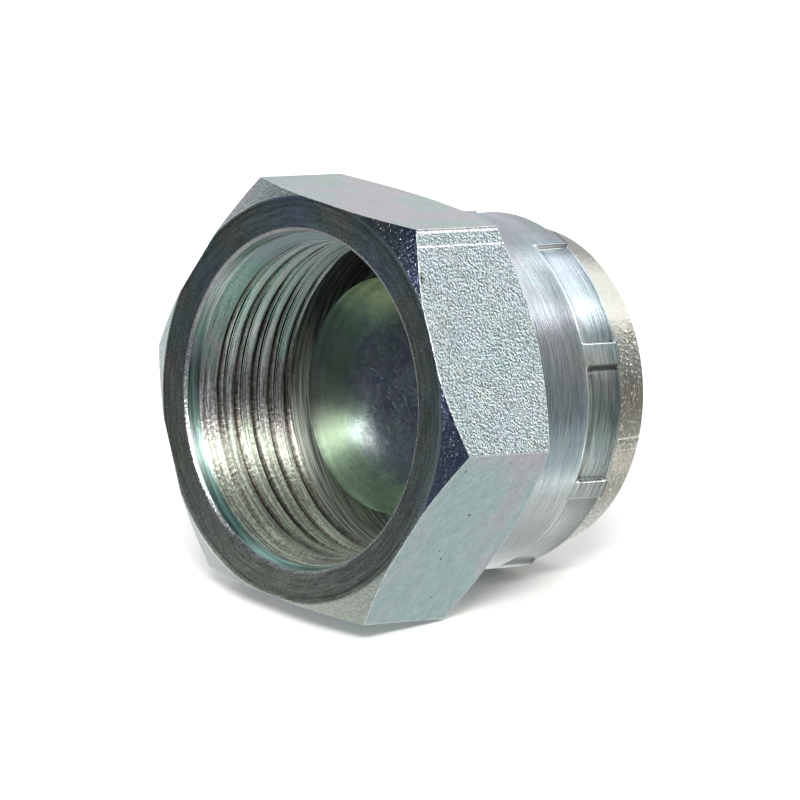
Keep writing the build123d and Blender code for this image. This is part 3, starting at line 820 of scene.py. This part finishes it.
def mat_collar(name="collar", press=False):
    m, t, p = metal(name, 0.26, 0.8)
    pos, x, y, z, r, cx, cy = coords(t)
    v = streak_vec(t, cx, cy, z, 0.9, 1.0)
    fine = t.noise(v, 6.5, 4.0, 0.62)
    wide = t.noise(streak_vec(t, cx, cy, z, 0.8, 1.0), 1.5, 2.0, 0.5, w=4.0)
    lilac = tint(t, pos, 0.12, [(0, (0.51, 0.59, 0.67)), (0.4, (0.53, 0.63, 0.67)), (0.6, (0.57, 0.60, 0.67)), (1, (0.54, 0.63, 0.65))], 2.0)
    grey = tint(t, pos, 0.12, [(0, (0.46, 0.56, 0.60)), (0.4, (0.49, 0.60, 0.61)), (0.6, (0.55, 0.59, 0.62)), (0.8, (0.60, 0.61, 0.60)), (1, (0.52, 0.62, 0.58))], 2.0)
    # painted light and shade: lilac towards the top, a lighter band at y 2 to 5.5 and a darker one from y 7 down
    col = t.mix(t.rng(y, -11.0, -5.0), lilac, grey)
    col = t.mix(t.rng(y, 2.0, 5.5), col, (0.70, 0.74, 0.73))
    col = t.mix(t.rng(y, 7.0, 10.5), col, (0.54, 0.57, 0.57))
    calm = t.rng(y, 4.0, 8.0)
    f = t.rng(t.math("ADD", t.times(fine, t.math("SUBTRACT", 1.0, t.times(calm, 0.5))), t.times(calm, 0.25)), 0.3, 0.7, 0.72, 1.18, "LINEAR")
    height = fine
    if press:
        # the lathe lines stop on the flanks of the ridges
        flank = None
        for m0, (mid, half) in RIDGE_SHAPE.items():
            for e in (-1, 1):
                one = t.station(cx, cy, mid + e * half, 14.3, 0.36 if (m0, e) == (95.0, 1) else 0.28)
                flank = one if flank is None else t.math("MAXIMUM", flank, one)
        plain_flank = t.math("SUBTRACT", 1.0, flank)
        f = t.math("ADD", t.times(f, plain_flank), t.times(flank, 0.95))
        height = t.times(t.math("SUBTRACT", fine, 0.5), plain_flank)
    if press:
        # painted light and shade: the impressions a little lighter and greener between y -5 and 0, darker towards the
        # bottom
        col = t.mix(t.times(t.rng(y, -8.0, -5.0), t.rng(y, 2.0, 0.0)), col, t.vmath("MULTIPLY", col, (1.08, 1.12, 1.0)))
        low = t.rng(y, -3.0, 6.0)
        col = t.mix(low, col, (0.38, 0.41, 0.385))
        lines = t.noise(v, 5.0, 2.0, 0.5, w=9.0)
        plain = t.curve(y, [(-12.0, 0.25), (-9.0, 0.4), (-7.0, 0.8), (2.0, 1.0), (4.5, 0.8), (5.5, 0.25), (13.0, 0.2)])
        col = t.mix(t.times(t.rng(lines, 0.56, 0.66), plain, 0.8), col, (0.84, 0.86, 0.84))
        f = t.times(f, t.math("SUBTRACT", 1.0, t.times(t.rng(lines, 0.44, 0.36), plain, 0.4)))
        # painted light and shade: brightness follows a curve in height round the crimp
        f = t.times(f, t.curve(y, [(-14.2, 0.88), (-11.0, 0.98), (-7.0, 1.0), (-5.0, 0.95), (-3.7, 0.72), (0.0, 0.76), (1.2, 0.98), (2.45, 1.32), (4.0, 1.25), (5.0, 1.25), (6.0, 1.1), (7.1, 1.3), (8.1, 1.35), (9.1, 1.15), (10.0, 0.86), (11.6, 0.72), (13.0, 0.75)]))
        rear = t.times(t.rng(z, 19.6, 20.8), t.noise(pos, 4.5, 2.0, 0.6, w=2.0))
        f = t.times(f, t.math("SUBTRACT", 1.12, t.times(rear, 0.5)))
        # painted shadow: a patchy dark band on the ramp at the front of each impression, strongest across the middle
        # height
        patchy = t.rng(t.noise(pos, 0.5, 2.0, 0.5, w=4.0), 0.34, 0.58, 0.45, 1.0)
        ramp = t.times(t.rng(r, 14.445, 14.36), t.rng(z, 19.0, 18.5), patchy)
        ramp = t.times(ramp, t.curve(y, [(-14.0, 0.35), (-9.0, 0.45), (-6.5, 0.8), (-5.5, 1.0), (3.0, 1.0), (5.0, 0.5), (13.0, 0.4)]))
        # painted shadows and highlights: dark and light lines along the ridge flanks at listed stations
        dark = light = None
        for th, half, amount in ((52.6, 0.07, 0.30), (90.7, 0.07, 0.75), (99.15, 0.30, 1.0), (135.9, 0.06, 0.60), (143.5, 0.08, 0.65)):
            one = t.times(t.station(cx, cy, th, 14.3, half), amount)
            dark = one if dark is None else t.math("MAXIMUM", dark, one)
        for th, half, amount in ((53.4, 0.13, 0.75), (91.35, 0.11, 0.65), (100.75, 0.07, 0.55), (136.95, 0.08, 0.55), (142.7, 0.06, 0.30)):
            one = t.times(t.station(cx, cy, th, 14.3, half), amount)
            light = one if light is None else t.math("MAXIMUM", light, one)
        span = t.times(t.rng(z, 17.85, 18.1), t.rng(z, 21.45, 21.25))
        # paint the ramp shadow, then the flank highlights and shadows
        col = t.mix(t.times(ramp, 0.8), col, (0.15, 0.14, 0.13))
        col = t.mix(t.times(light, span), col, (0.95, 0.95, 0.92))
        col = t.mix(t.times(dark, span), col, (0.12, 0.11, 0.10))
    else:
        col = t.mix(t.times(t.rng(wide, 0.56, 0.70), 0.7), col, (0.74, 0.76, 0.78))
        dark = t.noise(streak_vec(t, cx, cy, z, 1.1, 1.0), 5.0, 2.0, 0.5, w=11.0)
        col = t.mix(t.times(t.rng(dark, 0.66, 0.74), 0.7), col, (0.16, 0.20, 0.24))
        # painted light and shade: brightness follows a curve in height round the collar, and is cut back by 30% beyond
        # z 15.4 on the upper side
        f = t.times(f, t.curve(y, [(-14.4, 0.92), (-12.8, 0.88), (-12.0, 0.80), (-11.1, 0.84), (-10.0, 0.66), (-8.9, 0.74), (-7.7, 0.70), (-6.3, 0.72), (-4.9, 0.77), (-3.5, 0.79), (-2.0, 0.84), (-0.5, 0.88), (1.0, 0.82), (2.5, 1.0), (3.9, 1.36), (5.2, 0.95), (6.8, 0.85), (8.1, 0.72), (10.4, 0.67), (11.4, 0.74), (12.3, 0.88), (14.4, 1.0)]))
        f = t.times(f, t.math("SUBTRACT", 1.0, t.times(t.rng(z, 15.4, 16.6), t.rng(y, -6.5, -8.5), t.rng(y, -12.5, -11.5), 0.30)))
    t.put(p.inputs["Base Color"], t.shade(col, f))
    t.put(p.inputs["Roughness"], t.rng(fine, 0.3, 0.7, 0.20, 0.32, "LINEAR"))
    t.put(p.inputs["Normal"], t.bump(height, 0.35 if press else 0.6, 0.00006))
    return m


def mat_tail():
    m, t, p = metal("tail", 0.34, 0.5)
    pos, x, y, z, r, cx, cy = coords(t)
    g = t.noise(pos, 3.9, 2.0, 0.55)
    col = tint(t, pos, 0.14, [(0, (0.28, 0.27, 0.235)), (0.5, (0.33, 0.31, 0.26)), (1, (0.275, 0.29, 0.265))], 4.0)
    # painted light and shade: lighter towards the bottom, another tone at the top, and the outside lightened or
    # darkened by height along the curve bright
    col = t.mix(t.rng(y, 5.0, 9.0), col, (0.47, 0.48, 0.43))
    col = t.mix(t.rng(y, -6.0, -10.0), col, (0.318, 0.315, 0.285))
    bright = t.curve(y, [(-13.1, 1.2), (-11.9, 1.2), (-10.8, 1.18), (-9.4, 1.10), (-8.4, 1.16), (-7.5, 1.06), (-6.6, 1.0), (-5.6, 1.0), (-4.5, 0.88), (-3.4, 0.74), (-2.3, 0.72), (-1.1, 0.85), (0.0, 1.1), (1.2, 1.3), (2.3, 1.7), (3.4, 1.75), (4.5, 1.3), (5.6, 1.1), (13.1, 1.0)])
    col = t.shade(col, t.math("ADD", 1.0, t.times(t.math("SUBTRACT", bright, 1.0), t.rng(z, 25.45, 25.35), t.rng(r, 12.3, 12.6))))
    coarse = t.rng(t.noise(pos, 0.30, 2.0, 0.5, w=6.0), 0.38, 0.56, 0.12, 1.0)
    coarse = t.times(coarse, t.math("SUBTRACT", 1.0, t.times(t.rng(y, -7.0, -8.6), t.rng(z, 25.45, 25.35), 0.85)))
    col = t.mix(t.times(t.rng(g, 0.56, 0.66), coarse), col, (0.88, 0.86, 0.76))
    col = t.mix(t.times(t.rng(g, 0.44, 0.32), coarse), col, (0.20, 0.20, 0.17))
    band = t.rng(r, 12.55, 12.70)
    # scratch marks across the tail drawn as bright lines: the marks are real, their brightness is a painted highlight
    for th, width, lift in ((124.2, 0.11, 0.9), (126.4, 0.05, 0.35), (128.6, 0.07, 0.5)):
        q = math.radians(th - 120.0)
        s = t.math("SUBTRACT", t.math("MULTIPLY", cy, 13.1 * math.cos(q)), t.math("MULTIPLY", cx, 13.1 * math.sin(q)))
        ahead = t.rng(t.math("ADD", t.math("MULTIPLY", cx, math.cos(q)), t.math("MULTIPLY", cy, math.sin(q))), 0.0, 0.1)
        line = t.times(t.rng(t.math("ABSOLUTE", s), width, width * 0.3), ahead, band, lift)
        col = t.mix(line, col, (0.95, 0.93, 0.86))
    t.put(p.inputs["Base Color"], col)
    b = t.bump(t.times(g, t.rng(coarse, 0.12, 1.0, 0.2, 1.0, "LINEAR")), 1.0, 0.00013)
    t.put(p.inputs["Normal"], b)
    return m


def mat_dome():
    m, t, p = metal("dome", 0.25, 0.5)
    pos, x, y, z, r, cx, cy = coords(t)
    v = streak_vec(t, cx, cy, r, 2.0, 1.0)
    fine = t.noise(v, 7.0, 3.0, 0.6)
    wob = t.noise(pos, 0.30, 3.0, 0.6, 0.3)
    shift = t.rng(wob, 0.3, 0.7, -2.6, 2.6, "LINEAR")
    # the dark bluish part is a painted reflection of the dark room seen through the mouth; scratches show mostly on it,
    # and its border moves with y
    border = t.rng(y, -2.0, 3.0, -1.5, 1.0)
    border = t.math("SUBTRACT", border, t.rng(y, 3.6, 4.8, 0.0, 1.3))
    side = t.rng(t.math("SUBTRACT", t.math("ADD", x, shift), border), -2.6, 3.0)
    mid = t.rng(t.math("ABSOLUTE", t.math("ADD", t.math("ADD", y, 0.2), shift)), 8.6, 4.4)
    dark = t.times(side, mid)
    # painted reflection: the green part mirrors the lit bore wall; darker towards negative x and y, yellow towards the
    # top, light green towards the bottom, brightened in a painted highlight fan with a near-white painted highlight
    # core
    green = t.ramp(t.rng(t.noise(pos, 0.16, 2.0, 0.5, 0.3, w=6.0), 0.35, 0.65, 0.0, 1.0, "LINEAR"), [(0.0, (0.52, 0.68, 0.57)), (0.5, (0.60, 0.76, 0.60)), (1.0, (0.54, 0.68, 0.63))])
    green = t.shade(green, t.math("SUBTRACT", 1.0, t.times(t.rng(x, 1.0, -3.0), t.rng(y, 1.0, -2.0), 0.42)))
    green = t.shade(green, t.math("SUBTRACT", 1.0, t.times(t.rng(x, 1.0, -2.0), t.rng(y, 0.6, -1.2), t.rng(y, -6.6, -4.8), 0.26)))
    green = t.shade(green, t.math("ADD", 1.0, t.times(t.rng(x, 0.5, -2.5), t.rng(y, 4.1, 5.2), t.rng(y, 8.0, 6.0), 0.32)))
    green = t.mix(t.rng(y, -5.2, -7.6), green, (0.66, 0.74, 0.44))
    green = t.mix(t.times(t.rng(y, 4.6, 6.5), 0.9), green, (0.70, 1.0, 0.80))
    painted_fan_highlight = t.rng(t.vmath("DISTANCE", t.comb(t.math("MULTIPLY", x, 0.45), y, 0.0), (-2.0, 3.3, 0.0)), 2.0, 0.6)
    green = t.shade(green, t.math("ADD", 1.0, t.times(painted_fan_highlight, 0.30)))
    green = t.mix(t.times(t.rng(t.vmath("DISTANCE", t.comb(t.math("MULTIPLY", x, 0.7), y, 0.0), (0.05, 3.2, 0.0)), 2.2, 0.5), 0.85), green, (0.84, 0.88, 0.90))
    # painted reflection of the dark room: the blue part darker towards the top and dark teal towards the bottom
    blue = t.ramp(t.rng(t.noise(pos, 0.5, 3.0, 0.55, 0.3, w=3.0), 0.35, 0.65, 0.0, 1.0, "LINEAR"), [(0.0, (0.36, 0.42, 0.54)), (0.4, (0.44, 0.44, 0.56)), (0.7, (0.44, 0.54, 0.60)), (1.0, (0.40, 0.46, 0.50))])
    blue = t.shade(blue, t.rng(y, -6.0, -1.0, 0.72, 0.97))
    cloud = t.noise(pos, 1.5, 3.0, 0.6, w=21.0)
    blue = t.shade(blue, t.rng(cloud, 0.3, 0.7, 0.78, 1.22, "LINEAR"))
    blue = t.mix(t.times(t.rng(y, 3.4, 5.0), 0.7), blue, (0.30, 0.40, 0.42))
    col = t.mix(dark, green, blue)
    f = t.times(t.rng(fine, 0.3, 0.7, 0.84, 1.16, "LINEAR"), t.rng(t.noise(pos, 2.4, 3.0, 0.6, w=7.0), 0.3, 0.7, 0.86, 1.14, "LINEAR"))
    marks = None
    for deg, w, k, q in ((20.0, 1.0, 0.85, 8.0), (64.0, 2.0, 1.10, 9.0), (112.0, 3.0, 0.75, 8.5), (151.0, 4.0, 0.95, 10.0)):
        ca, sa = math.cos(math.radians(deg)), math.sin(math.radians(deg))
        u = t.math("ADD", t.math("MULTIPLY", x, ca * k), t.math("MULTIPLY", y, sa * k))
        v2 = t.math("ADD", t.math("MULTIPLY", x, -sa * q), t.math("MULTIPLY", y, ca * q))
        one = t.rng(t.noise(t.comb(u, v2, w * 7.3), 1.0, 0.0, 0.5, 0.5), 0.73, 0.80)
        marks = one if marks is None else t.math("MAXIMUM", marks, one)
    arcs = t.rng(t.noise(streak_vec(t, cx, cy, r, 1.2, 3.6), 1.0, 0.0, 0.5, 0.0, w=5.0), 0.70, 0.77)
    marks = t.times(t.math("MAXIMUM", marks, arcs), t.rng(dark, 0.0, 1.0, 0.2, 1.0, "LINEAR"))
    speck = t.times(t.rng(t.noise(pos, 7.0, 2.0, 0.65, w=2.0), 0.56, 0.74), t.rng(t.noise(pos, 0.8, 2.0, 0.5, w=9.0), 0.40, 0.60), t.rng(dark, 0.0, 1.0, 0.10, 1.0, "LINEAR"))
    col = t.shade(col, f)
    col = t.mix(t.times(t.math("MAXIMUM", t.times(marks, 0.6), speck), 0.62), col, (0.86, 0.90, 0.96))
    t.put(p.inputs["Base Color"], col)
    t.put(p.inputs["Roughness"], t.rng(dark, 0.0, 1.0, 0.24, 0.30, "LINEAR"))
    b = t.bump(fine, 0.30, 0.00002)
    b = t.bump(t.math("MAXIMUM", marks, speck), 0.3, 0.00004, b)
    t.put(p.inputs["Normal"], b)
    return m


ORDER = ["lead", "rim", "ring", "cone", "edge", "flat_grain", "flat_soft", "cone_r", "collar", "press", "tail", "relief", "thread"]
MATS = {
    "lead": mat_lead(), "rim": mat_rim(), "ring": mat_ring(), "cone": mat_cone("front_chamfer"), "edge": mat_edge(),
    "flat_grain": mat_flat(1.0, "flat_blasted"), "flat_soft": mat_flat(0.2, "flat_smooth"), "cone_r": mat_cone("rear_chamfer"),
    "collar": mat_collar(), "press": mat_collar("crimp", True), "tail": mat_tail(), "relief": mat_relief(), "thread": mat_thread(),
}

nut = nut_mesh(MATS, ORDER)
nut.data.transform(PLACE)
w = nut.modifiers.new("weighted", "WEIGHTED_NORMAL")
w.keep_sharp = True
w.weight = 50
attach(nut, "nut")
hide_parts("swivel_nut")


# ------------------------------------------------------------------ plug
def plug_mesh():
    R, rb, zb = 19.0, 9.45, 9.65
    apex = zb - (R - math.sqrt(R * R - rb * rb))
    pts = []
    n = 34
    amax = math.asin((rb - 0.06) / R)
    for k in range(1, n + 1):
        a = amax * k / n
        pts.append((R * math.sin(a), apex + R * (1 - math.cos(a))))
    tail = fillet([(rb - 0.3, zb - 0.15, 0, 0), (rb, zb, 0.05, 3), (rb, 12.0, 0, 0)])[1:5]
    pts += [tuple(q) for q in tail]
    pts += [(rb, 9.9), (rb, 12.0), (rb, 15.0), (rb, 17.9), (rb, 18.25), (9.7, 18.25), (10.8, 18.25), (11.0, 18.35), (11.0, 18.6), (11.0, 21.7), (11.0, 21.9),
            (10.8, 21.9), (9.95, 21.9), (9.89, 21.9), (9.89, 22.3), (9.89, 24.6)]
    e = fillet([(9.89, 24.0, 0, 0), (9.89, 24.87, 0.04, 2), (9.61, 25.15, 0.04, 2), (8.0, 25.15, 0, 0)])[1:7]
    pts += [tuple(q) for q in e]
    pts += [(9.3, 25.15), (7.5, 25.15), (5.0, 25.15), (2.5, 25.15), (0.8, 25.15)]
    M = 300
    verts = [(0, 0, apex * MM)]
    for r, z in pts:
        for j in range(M):
            q = 2 * math.pi * j / M
            verts.append((r * math.cos(q) * MM, r * math.sin(q) * MM, z * MM))
    verts.append((0, 0, 25.15 * MM))
    faces, mats = [], []
    for j in range(M):
        faces.append((0, 1 + (j + 1) % M, 1 + j))
        mats.append(0)
    for i in range(len(pts) - 1):
        for j in range(M):
            a, b = 1 + i * M + j, 1 + i * M + (j + 1) % M
            faces.append((a, b, b + M, a + M))
            mats.append(0 if pts[i][1] < 9.7 else 1)
    last = 1 + (len(pts) - 1) * M
    for j in range(M):
        faces.append((len(verts) - 1, last + j, last + (j + 1) % M))
        mats.append(1)
    return build_mesh("plug_body", verts, faces, mats, [mat_dome(), MATS["tail"]])


plug = plug_mesh()
clean(plug)
plug.data.transform(PLACE)
w = plug.modifiers.new("weighted", "WEIGHTED_NORMAL")
w.weight = 50
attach(plug, "plug")
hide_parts("plug")

# ------------------------------------------------------------------ camera
RIGHT = Vector((0.6719020410896959, 0.7406292340071722, 0.003998113736532347))
DOWN = Vector((0.23968032593333974, -0.2123249814567499, -0.947349694468668))
FWD = Vector((-0.7007859791262869, 0.6374844625426886, -0.3201758446177209))
cam_data = bpy.data.cameras.new("camera")
cam_data.lens = 450.0
cam_data.sensor_width = 36.0
cam_data.clip_start, cam_data.clip_end = 0.05, 20.0
cam = bpy.data.objects.new("camera", cam_data)
bpy.context.scene.collection.objects.link(cam)
up, back = -DOWN, -FWD
loc = Vector((0.5585393547102184, -0.5096976133402741, 0.27057260707236736))
cam.matrix_world = Matrix(((RIGHT.x, up.x, back.x, loc.x), (RIGHT.y, up.y, back.y, loc.y), (RIGHT.z, up.z, back.z, loc.z), (0, 0, 0, 1)))
bpy.context.scene.camera = cam


def cam_dir(x, y, z):
    """A direction given as right, down and forward of the photograph's camera, in the row frame."""
    return (RIGHT * x + DOWN * y + FWD * z).normalized()


# ------------------------------------------------------------------ floor
import bmesh
bm = bmesh.new()
bmesh.ops.create_circle(bm, cap_ends=True, cap_tris=False, segments=96, radius=3.0)
me = bpy.data.meshes.new("floor")
bm.to_mesh(me)
bm.free()
floor = bpy.data.objects.new("floor", me)
floor.location = (0, 0, -0.00002)
bpy.context.scene.collection.objects.link(floor)
fm = bpy.data.materials.new("floor")
fm.use_nodes = True
bs = fm.node_tree.nodes["Principled BSDF"]
bs.inputs["Base Color"].default_value = (0.93, 0.93, 0.93, 1)
bs.inputs["Roughness"].default_value = 0.9
bs.inputs["Specular IOR Level"].default_value = 0.1
me.materials.append(fm)
floor.visible_glossy = False
floor.visible_shadow = False

# ------------------------------------------------------------------ light
world = bpy.data.worlds.new("studio")
bpy.context.scene.world = world
world.use_nodes = True
world.node_tree.nodes.clear()
t = T(world.node_tree)
tc = t.node("ShaderNodeTexCoord")
d = tc.outputs["Generated"]


def lobe(direction, cos_out, cos_in, strength, colour=(1, 1, 1)):
    dot = t.vmath("DOT_PRODUCT", d, tuple(direction))
    f = t.rng(dot, cos_out, cos_in, 0.0, strength)
    n = t.node("ShaderNodeVectorMath", operation="SCALE")
    n.inputs[0].default_value = colour
    t.put(n.inputs["Scale"], f)
    return n.outputs["Vector"]


def box_light(direction, up_hint, half_w, half_h, soft, strength, colour=(1, 1, 1)):
    """A soft-edged rectangle of light far away, centred on direction."""
    f = Vector(direction).normalized()
    rt = f.cross(Vector(up_hint)).normalized()
    u = rt.cross(f)
    front = t.rng(t.vmath("DOT_PRODUCT", d, tuple(f)), 0.0, 0.05)
    fz = t.math("MAXIMUM", t.vmath("DOT_PRODUCT", d, tuple(f)), 0.001)
    px = t.math("ABSOLUTE", t.math("DIVIDE", t.vmath("DOT_PRODUCT", d, tuple(rt)), fz))
    py = t.math("ABSOLUTE", t.math("DIVIDE", t.vmath("DOT_PRODUCT", d, tuple(u)), fz))
    a = t.rng(px, half_w + soft, half_w - soft)
    b = t.rng(py, half_h + soft, half_h - soft)
    f2 = t.math("MULTIPLY", t.math("MULTIPLY", t.math("MULTIPLY", a, b), front), strength)
    n = t.node("ShaderNodeVectorMath", operation="SCALE")
    n.inputs[0].default_value = colour
    t.put(n.inputs["Scale"], f2)
    return n.outputs["Vector"]


def strip(c0, c1, half_h, soft, strength, colour=(1, 1, 1)):
    """A rectangle of light whose long axis runs from c0 to c1, both given in the camera's axes."""
    v0, v1 = Vector(c0).normalized(), Vector(c1).normalized()
    mid = (v0 + v1).normalized()
    half_w = math.tan(v0.angle(v1) / 2)
    up_hint = mid.cross(v1 - v0)
    return box_light(cam_dir(*mid), cam_dir(*up_hint), half_w, half_h, soft, strength, colour)


def add(a, b):
    return t.vmath("ADD", a, b)


dx, dy, dz = t.sep(d)
# pale floor seen from below the horizon, shaded on the left in front of the mouth
shaded = t.rng(t.vmath("DOT_PRODUCT", d, tuple(cam_dir(-0.94, 0.14, -0.24))), 0.72, 0.93, 1.0, 0.12)
env = t.vmath("SCALE", t.comb(0.96, 1.0, 0.985), s=t.times(t.rng(dz, -0.16, -0.42, 0.0, 0.40), shaded))
# dim room, a little lighter to the right
env = add(env, (0.06, 0.068, 0.078))
env = add(env, lobe(cam_dir(0.95, 0.10, 0.15), 0.45, 0.95, 0.16))
# white sweep behind the object
env = add(env, lobe(cam_dir(0.22, -0.35, 0.92), 0.12, 0.66, 0.74))
# softbox, upper right
env = add(env, strip((0.445, -0.70, 0.545), (0.85, -0.4825, 0.195), 0.20, 0.035, 1.15))
env = add(env, strip((0.765, -0.566, 0.303), (0.85, -0.4825, 0.195), 0.20, 0.020, 2.2))
env = add(env, strip((0.42, -0.62, 0.66), (0.835, -0.44, 0.34), 0.08, 0.030, 2.9))
# bright card low on the left, which the dome sees
env = add(env, strip((-0.95, 0.27, 0.05), (-0.84, 0.22, 0.46), 0.05, 0.035, 2.05, (1.0, 1.0, 0.99)))
# lamp beside the camera
env = add(env, strip((-0.22, -0.37, -0.90), (0.22, -0.42, -0.88), 0.07, 0.02, 46.0, (1.0, 0.99, 0.95)))

bg = t.node("ShaderNodeBackground")
t.put(bg.inputs["Color"], env)
bg2 = t.node("ShaderNodeBackground")
bg2.inputs["Color"].default_value = (1, 1, 1, 1)
bg2.inputs["Strength"].default_value = 1.0
lp = t.node("ShaderNodeLightPath")
mx = t.node("ShaderNodeMixShader")
t.put(mx.inputs[0], t.math("MAXIMUM", lp.outputs["Is Camera Ray"], lp.outputs["Is Diffuse Ray"]))
t.l.new(bg.outputs[0], mx.inputs[1])
t.l.new(bg2.outputs[0], mx.inputs[2])
wo = t.node("ShaderNodeOutputWorld")
t.l.new(mx.outputs[0], wo.inputs["Surface"])

sc = bpy.context.scene
sc.view_settings.view_transform = "Standard"
sc.view_settings.look = "None"

print("nut tris", sum(len(p.vertices) - 2 for p in nut.data.polygons), "columns", N, "plug tris", sum(len(p.vertices) - 2 for p in plug.data.polygons))
